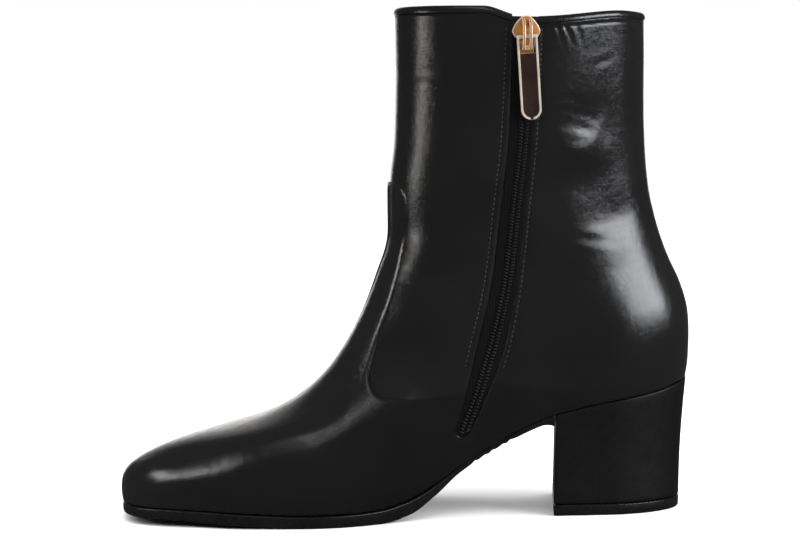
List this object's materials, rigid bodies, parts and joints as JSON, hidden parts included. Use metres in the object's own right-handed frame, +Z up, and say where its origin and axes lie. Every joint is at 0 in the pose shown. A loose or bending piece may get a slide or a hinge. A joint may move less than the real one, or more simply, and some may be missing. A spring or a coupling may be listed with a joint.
{
  "type": "ankle boot",
  "caption": "Right ankle boot in black leather with a block heel, a soft square toe and a zip on the inner side with a hinged pull tab.",
  "frame": {"origin": "centre of the boot's bounding box, at the floor", "axes": "+X from the toe to the heel, +Y to the outer side of the foot, +Z up"},
  "size_m": [0.2426, 0.0857, 0.2123],
  "materials": {
    "leather": "smooth, semi-gloss",
    "heel_leather": "smooth, satin",
    "rubber": "matte",
    "insole_leather": "matte",
    "zip_cloth": "woven",
    "zip_coil": "satin",
    "gold": "polished"
  },
  "bodies": {
    "boot": {"outsole": "rubber", "heel_top_piece": "rubber", "heel_block": "heel_leather", "insole": "insole_leather", "upper": "leather", "vamp": "leather", "collar_binding": "leather", "zip_tape": "zip_cloth", "zip_coil": "zip_coil", "zip_slider": "gold"},
    "pull_tab": {"zip_pull_tab": "gold"}
  },
  "joints": [
    {"name": "pull_tab_hinge", "type": "hinge", "parent": "boot", "child": "pull_tab", "pos_m": [0.044, -0.03737, 0.1991], "axis": [-0.9969, 0.0001, -0.0784], "range_deg": [0, 140]}
  ]
}
